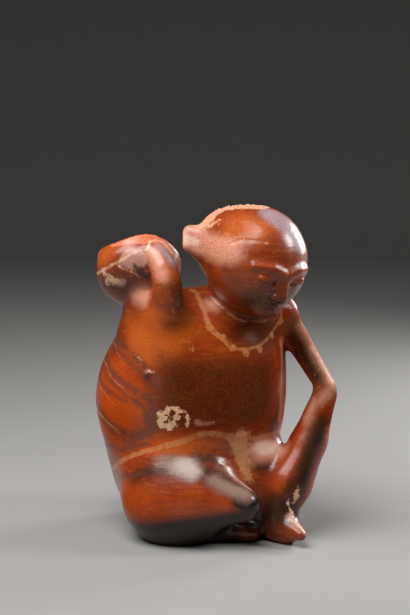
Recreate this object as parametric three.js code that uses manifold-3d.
// A vase in the form of a seated figure that carries a bowl on its right shoulder.
// It is one hollow piece of fired clay, open through the bowl.
// Millimetres, +Z up, +X the figure's left side, -Y its front, origin on the ground under the torso.
import * as THREE from "three";
import { mergeVertices } from "three/addons/utils/BufferGeometryUtils.js";
import Module from "manifold-3d";

const wasm = await Module();
wasm.setup();

const wall = 7; // clay thickness of the body
const bowlWall = 4.5;
const innerStep = 16; // spacing of the surface grid inside the hollow
const footing = 3.7; // grid vertices below this height lie on the ground

const degrees = Math.PI / 180;

// Small vector helpers on [x, y, z] arrays.
const minus = (a, b) => [a[0] - b[0], a[1] - b[1], a[2] - b[2]];
const dot = (a, b) => a[0] * b[0] + a[1] * b[1] + a[2] * b[2];
const cross = (a, b) => [
  a[1] * b[2] - a[2] * b[1],
  a[2] * b[0] - a[0] * b[2],
  a[0] * b[1] - a[1] * b[0],
];
const along = (a, direction, distance) => a.map((value, i) => value + direction[i] * distance);
const unit = (a) => a.map((value) => value / Math.hypot(...a));

// Distance to an ellipsoid, whose axes may be turned about Z.
function ball(centre, radii, turn = 0) {
  const c = Math.cos(turn * degrees);
  const s = Math.sin(turn * degrees);
  return (p) => {
    const q = minus(p, centre);
    const x = (c * q[0] + s * q[1]) / radii[0];
    const y = (c * q[1] - s * q[0]) / radii[1];
    const z = q[2] / radii[2];
    const size = Math.hypot(x, y, z);
    const slope = Math.hypot(x / radii[0], y / radii[1], z / radii[2]);
    return (size * (size - 1)) / Math.max(slope, 1e-6);
  };
}

// Distance to a limb with round ends that tapers from one radius to the other.
function limb(from, to, fromRadius, toRadius) {
  const axis = minus(to, from);
  const length2 = dot(axis, axis);
  const taper = fromRadius - toRadius;
  const slant = length2 - taper * taper;
  return (p) => {
    const q = minus(p, from);
    const y = dot(q, axis);
    const z = y - length2;
    const x = q.map((value, i) => value * length2 - axis[i] * y);
    const x2 = dot(x, x);
    const y2 = y * y * length2;
    const z2 = z * z * length2;
    const k = Math.sign(taper) * taper * taper * x2;
    if (Math.sign(z) * slant * z2 > k) return Math.sqrt(x2 + z2) / length2 - toRadius;
    if (Math.sign(y) * slant * y2 < k) return Math.sqrt(x2 + y2) / length2 - fromRadius;
    return (Math.sqrt((x2 * slant) / length2) + y * taper) / length2 - fromRadius;
  };
}

// Joins two surfaces with a soft fillet of the given width.
function blend(a, b, width) {
  const near = Math.max(width - Math.abs(a - b), 0) / width;
  return Math.min(a, b) - (near * near * width) / 4;
}

// Torso: a barrel with forward shoulders, on a round seat.
const torso = ball([0, 0, 111], [83, 84, 88]);
const shoulders = ball([5, -16, 155], [69, 58, 54]);
const seat = ball([2, 0, 42], [66, 67, 54]);
const leftShoulder = ball([65, -45, 183], [17, 17, 21]);
const neck = limb([29, -34, 189], [24, -54, 219], 32, 26);

// Head, bent forward over the chest.
const headCentre = [20.5, -67, 238.5];
const head = ball(headCentre, [43.5, 44, 46.5]);
const crown = ball([8.5, -51, 251], [33, 33, 33]);
const backOfHead = ball([28, -52, 240], [36, 36, 38]);
const earEdge = limb([-26.6, -37.5, 262.4], [-26.7, -37.5, 251.8], 6.5, 6.5);
const earRoot = limb([-20.1, -42.2, 259.5], [-20.2, -42.2, 248.4], 8, 8);
const leftEar = ball([64, -44, 246], [11, 7, 12], 28);

// The face looks forward and down: its own axes start at the head's centre.
const faceTurn = 4;
const faceNod = 24;
const faceLean = 7;
const faceAxes = new THREE.Matrix4()
  .makeRotationZ(-faceTurn * degrees)
  .multiply(new THREE.Matrix4().makeRotationX(faceNod * degrees))
  .multiply(new THREE.Matrix4().makeRotationY(faceLean * degrees))
  .setPosition(...headCentre);
const onFace = (across, out, up) => new THREE.Vector3(across, -out, up).applyMatrix4(faceAxes).toArray();
const nose = limb(onFace(0, 42, 7), onFace(0, 47, -9), 3.2, 5.6);
const chin = ball(onFace(0, 35, -28), [12, 9, 8]);

// Right leg, folded flat on the ground across the front.
const rightThigh = ball([-43, -42, 36], [47, 42, 44], -36);
const rightKnee = limb([-36, -65, 42], [-17, -100, 37.6], 32, 14.2);
const rightFoot = limb([-24, -66, 11], [3, -84, 7], 11.5, 7.5);
const lap = ball([32.6, -66.9, 55.3], [23.5, 24.5, 24.5]);
const betweenLegs = ball([20, -67, 28], [22, 22, 34]);

// Left leg with its knee raised.
const leftKnee = [71.6, -98.8, 123];
const leftCalf = [59.3, -93.5, 82];
const leftShank = limb(leftKnee, leftCalf, 9, 14);
const leftCalfBack = limb(leftCalf, [39, -90, 48], 14, 21);
const leftShin = limb([71.3, -98.6, 120], [26.5, -96, 27.5], 5.6, 14);
const leftFoot = limb([27, -94, 15], [23.2, -126.3, 11.2], 14.5, 4.8);
const leftSole = limb([24, -94, 9], [24.3, -106, 7.6], 9, 7.6);

// Arms: the left one rests on its knee, the right one holds the bowl.
const leftArm = limb([73, -48, 175], [73.6, -95.8, 130], 12, 8.6);
const rightArmRoot = limb([-41, -37, 150], [-48, -37, 190], 14, 12);
const rightArmRoute = [
  { at: [-44, -32, 172], radius: 14 },
  { at: [-50.5, -38.5, 207], radius: 13.6 },
  { at: [-52.1, -38.8, 222.3], radius: 12.4 },
  { at: [-52.8, -34.6, 232.9], radius: 11.7 },
  { at: [-53.6, -28.4, 240.9], radius: 10.6 },
  { at: [-55.3, -21.7, 245.9], radius: 8.8 },
];
const rightArm = rightArmRoute.slice(1).map((end, n) => {
  const start = rightArmRoute[n];
  return limb(start.at, end.at, start.radius, end.radius);
});

// The bowl is round about a tilted axis and stands on a stout stem.
const bowlFoot = [-67, -12, 211.5];
const bowlAxis = unit([0.531, 0.583, 0.615]);
const bowlRadius = 34.8;
const bowlHeight = 38.8;
const bowlBelly = 22; // height where the round underside meets the straight band
const bowlFlare = 0.1; // how much wider the straight band grows for each millimetre up
const rimDip = 9; // the handmade rim is lower at the front
const rimDipAt = 127;
const rimDipWidth = 62;
const stem = limb([-43, -3, 172], [-48, -7, 205], 28, 21);
const throat = { x: -44, y: 8, radius: 11, from: 154, to: 205 };

function bowlSurface(radius, depth) {
  return (p) => {
    const q = minus(p, bowlFoot);
    const height = dot(q, bowlAxis);
    const across = Math.sqrt(Math.max(dot(q, q) - height * height, 0));
    const below = Math.min(height - bowlBelly, 0);
    if (below === 0) return across - radius - bowlFlare * (height - bowlBelly);
    const size = Math.hypot(across / radius, below / depth);
    const slope = Math.hypot(across / radius ** 2, below / depth ** 2);
    return (size * (size - 1)) / Math.max(slope, 1e-6);
  };
}
const bowl = bowlSurface(bowlRadius, bowlBelly);

const skull = (p) => blend(blend(head(p), crown(p), 8), backOfHead(p), 8);

function outside(p) {
  let d = blend(torso(p), shoulders(p), 26);
  d = blend(d, seat(p), 30);
  d = blend(d, leftShoulder(p), 14);
  d = blend(d, stem(p), 14);
  d = blend(d, neck(p), 14);
  let face = skull(p);
  face = blend(face, blend(earEdge(p), earRoot(p), 4), 7);
  face = blend(face, leftEar(p), 10);
  face = blend(face, nose(p), 5);
  face = blend(face, chin(p), 8);
  d = blend(d, face, 4);
  d = blend(d, rightThigh(p), 28);
  d = blend(d, rightKnee(p), 12);
  d = blend(d, lap(p), 20);
  d = blend(d, rightFoot(p), 4);
  let leg = blend(leftShank(p), leftCalfBack(p), 8);
  leg = blend(leg, leftShin(p), 12);
  d = blend(d, leg, 6);
  d = blend(d, blend(leftFoot(p), leftSole(p), 10), 8);
  d = blend(d, betweenLegs(p), 8);
  d = blend(d, leftArm(p), 6);
  d = blend(d, rightArmRoot(p), 22);
  d = blend(d, Math.min(...rightArm.map((piece) => piece(p))), 9);
  const cup = Math.max(bowl(p), dot(minus(p, bowlFoot), bowlAxis) - bowlHeight - 8);
  d = blend(d, cup, 4);
  return Math.max(d, -p[2]);
}

// The hollow follows the torso, neck, head and folded leg one wall's thickness inside them.
function hollow(p) {
  let d = blend(torso(p), shoulders(p), 26);
  d = blend(d, seat(p), 30);
  d = blend(d, neck(p), 14);
  d = blend(d, skull(p), 10);
  d = blend(d, rightThigh(p), 14);
  return Math.max(d + wall, wall - p[2]);
}

// Grid lines from one value up past another, as far apart as the step asks at each place.
function gridLines(from, to, stepAt) {
  const lines = [from];
  while (lines.at(-1) < to) lines.push(lines.at(-1) + stepAt(lines.at(-1)));
  return lines;
}

// Steps along the three axes of the grid.
const steps = [[1, 0, 0], [0, 1, 0], [0, 0, 1]];

// A grid face with inside corners on one diagonal only would pinch the net,
// so the shallower of the two goes outside.
function untangle(values, counts, index) {
  let changed = true;
  while (changed) {
    changed = false;
    for (let k = 0; k < counts[2] - 1; k++) {
      for (let j = 0; j < counts[1] - 1; j++) {
        for (let i = 0; i < counts[0] - 1; i++) {
          for (let axis = 0; axis < 3; axis++) {
            const u = steps[(axis + 1) % 3];
            const v = steps[(axis + 2) % 3];
            const ring = [[0, 0], [1, 0], [1, 1], [0, 1]].map(([a, b]) =>
              index(i + a * u[0] + b * v[0], j + a * u[1] + b * v[1], k + a * u[2] + b * v[2]));
            const inside = ring.filter((n) => values[n] < 0);
            if (inside.length !== 2) continue;
            if ((ring.indexOf(inside[1]) - ring.indexOf(inside[0])) % 2 !== 0) continue;
            values[values[inside[0]] > values[inside[1]] ? inside[0] : inside[1]] = 0.01;
            changed = true;
          }
        }
      }
    }
  }
}

// Turns a distance function into a closed mesh, with one vertex in each grid box it crosses.
function surfaceNet(distance, lines) {
  const counts = lines.map((list) => list.length);
  const [nx, ny] = counts;
  const index = (i, j, k) => i + nx * (j + ny * k);
  const values = new Float64Array(counts[0] * counts[1] * counts[2]);
  const place = (i, j, k) => [lines[0][i], lines[1][j], lines[2][k]];
  for (let k = 0; k < counts[2]; k++) {
    for (let j = 0; j < ny; j++) {
      for (let i = 0; i < nx; i++) values[index(i, j, k)] = distance(place(i, j, k));
    }
  }
  untangle(values, counts, index);
  const corners = [];
  for (let c = 0; c < 8; c++) corners.push([c & 1, (c >> 1) & 1, c >> 2]);
  const edges = [];
  for (let a = 0; a < 8; a++) {
    for (const bit of [1, 2, 4]) if (!(a & bit)) edges.push([a, a | bit]);
  }
  const vertexOf = new Int32Array(values.length).fill(-1);
  const positions = [];
  for (let k = 0; k < counts[2] - 1; k++) {
    for (let j = 0; j < ny - 1; j++) {
      for (let i = 0; i < nx - 1; i++) {
        const at = corners.map(([a, b, c]) => values[index(i + a, j + b, k + c)]);
        const sum = [0, 0, 0];
        let crossings = 0;
        for (const [a, b] of edges) {
          if (at[a] < 0 === at[b] < 0) continue;
          const t = at[a] / (at[a] - at[b]);
          for (let n = 0; n < 3; n++) sum[n] += corners[a][n] + t * (corners[b][n] - corners[a][n]);
          crossings++;
        }
        if (crossings === 0) continue;
        vertexOf[index(i, j, k)] = positions.length / 3;
        const base = place(i, j, k);
        const size = minus(place(i + 1, j + 1, k + 1), base);
        const middle = base.map((value, n) => value + (sum[n] / crossings) * size[n]);
        positions.push(...settle(middle, distance, Math.min(...size)));
      }
    }
  }
  const triangles = [];
  for (let k = 1; k < counts[2] - 1; k++) {
    for (let j = 1; j < ny - 1; j++) {
      for (let i = 1; i < nx - 1; i++) {
        for (let axis = 0; axis < 3; axis++) {
          const [di, dj, dk] = steps[axis];
          const here = values[index(i, j, k)] < 0;
          if (here === values[index(i + di, j + dj, k + dk)] < 0) continue;
          const u = steps[(axis + 1) % 3];
          const v = steps[(axis + 2) % 3];
          const quad = [[1, 1], [0, 1], [0, 0], [1, 0]].map(([a, b]) =>
            vertexOf[index(i - a * u[0] - b * v[0], j - a * u[1] - b * v[1], k - a * u[2] - b * v[2])]);
          if (!here) quad.reverse();
          triangles.push(quad[0], quad[1], quad[2], quad[0], quad[2], quad[3]);
        }
      }
    }
  }
  const geometry = new THREE.BufferGeometry();
  geometry.setAttribute("position", new THREE.Float32BufferAttribute(positions, 3));
  geometry.setIndex(triangles);
  return geometry;
}

// Moves a grid vertex onto the true surface. The lowest layer makes the flat underside.
function settle(start, distance, size) {
  const grounded = start[2] < footing;
  const reach = size / 3;
  let p = start;
  for (let pass = 0; pass < 2; pass++) {
    if (grounded) p[2] = 0;
    const slope = steps.map((step) => (distance(along(p, step, reach)) - distance(along(p, step, -reach))) / (2 * reach));
    const move = THREE.MathUtils.clamp(distance(p) / Math.max(dot(slope, slope), 0.5), -reach, reach);
    p = along(p, slope, -move);
  }
  if (grounded) p[2] = 0;
  return p;
}

function solidOf(geometry) {
  const bare = new THREE.BufferGeometry();
  bare.setAttribute("position", geometry.getAttribute("position"));
  if (geometry.index) bare.setIndex(geometry.index);
  const merged = mergeVertices(bare, 1e-4);
  return new wasm.Manifold(new wasm.Mesh({
    numProp: 3,
    vertProperties: new Float32Array(merged.getAttribute("position").array),
    triVerts: new Uint32Array(merged.index.array),
  }));
}

function geometryOf(solid) {
  const mesh = solid.getMesh();
  const geometry = new THREE.BufferGeometry();
  geometry.setAttribute("position", new THREE.BufferAttribute(new Float32Array(mesh.vertProperties), 3));
  geometry.setIndex(new THREE.BufferAttribute(new Uint32Array(mesh.triVerts), 1));
  geometry.computeVertexNormals();
  return geometry;
}

// Three.js lathes and cylinders stand on +Y: this stands them on the bowl's axis.
const bowlSide = unit(cross([0.582, 0.801, -0.139], bowlAxis));
const bowlFront = cross(bowlSide, bowlAxis);
const onBowl = new THREE.Matrix4()
  .makeBasis(new THREE.Vector3(...bowlSide), new THREE.Vector3(...bowlAxis), new THREE.Vector3(...bowlFront))
  .setPosition(...bowlFoot);

// The rim's height over the level rim at an angle round the bowl.
function rimChange(angle) {
  const away = Math.abs(THREE.MathUtils.euclideanModulo(angle - rimDipAt + 180, 360) - 180);
  return away < rimDipWidth ? -rimDip * Math.cos((away / rimDipWidth) * 90 * degrees) ** 2 : 0;
}

// Everything over the rim, as a thick disc whose underside follows the rim.
function overRim() {
  const discRadius = bowlRadius + 6;
  const disc = new THREE.CylinderGeometry(discRadius, discRadius, 30, 48);
  const points = disc.getAttribute("position");
  for (let n = 0; n < points.count; n++) {
    const x = points.getX(n);
    const z = points.getZ(n);
    const lower = points.getY(n) < 0 && Math.hypot(x, z) > 1;
    const change = rimChange(Math.atan2(z, x) / degrees) * (discRadius / bowlRadius);
    points.setY(n, points.getY(n) + 15 + bowlHeight + (lower ? change : 0));
  }
  return solidOf(disc.applyMatrix4(onBowl));
}

// The inside of the bowl, from its round floor straight up past the rim.
function bowlInside() {
  const radius = bowlRadius - bowlWall;
  const depth = bowlBelly - bowlWall;
  const profile = [];
  for (let n = 0; n <= 8; n++) {
    const angle = (n / 8) * 90 * degrees;
    profile.push(new THREE.Vector2(radius * Math.sin(angle), bowlBelly - depth * Math.cos(angle)));
  }
  const top = bowlHeight + 8;
  profile.push(new THREE.Vector2(radius + bowlFlare * (top - bowlBelly), top));
  profile.push(new THREE.Vector2(0, top));
  return solidOf(new THREE.LatheGeometry(profile, 40).applyMatrix4(onBowl));
}

function throatHole() {
  const hole = new THREE.CylinderGeometry(throat.radius, throat.radius, throat.to - throat.from, 24);
  hole.rotateX(90 * degrees);
  hole.translate(throat.x, throat.y, (throat.to + throat.from) / 2);
  return solidOf(hole);
}

// Grid lines stand closer round the legs, arms, head and bowl than round the plain back.
const outerLines = [
  gridLines(-103, 98, () => 7.9),
  gridLines(-145, 97, (y) => (y < -24 ? 7.5 : 13)),
  gridLines(-1.5 * 7.4, 296, (z) => (z < 120 || z > 172 ? 7.4 : 11)),
];
const innerLines = [
  gridLines(-107, 100, () => innerStep),
  gridLines(-140, 100, () => innerStep),
  gridLines(-23, 300, () => innerStep),
];
const shell = solidOf(surfaceNet(outside, outerLines));
const core = solidOf(surfaceNet(hollow, innerLines));
const vase = shell.subtract(overRim()).subtract(bowlInside()).subtract(throatHole()).subtract(core);

const redSlip = new THREE.MeshStandardMaterial({
  name: "burnished red slip over fired clay",
  color: 0x8a3f20,
  roughness: 0.38,
  metalness: 0,
});

const figure = new THREE.Group();
figure.name = "seated figure vase";
const body = new THREE.Mesh(geometryOf(vase), redSlip);
body.name = "seated_figure_vase";
figure.add(body);

export default figure;
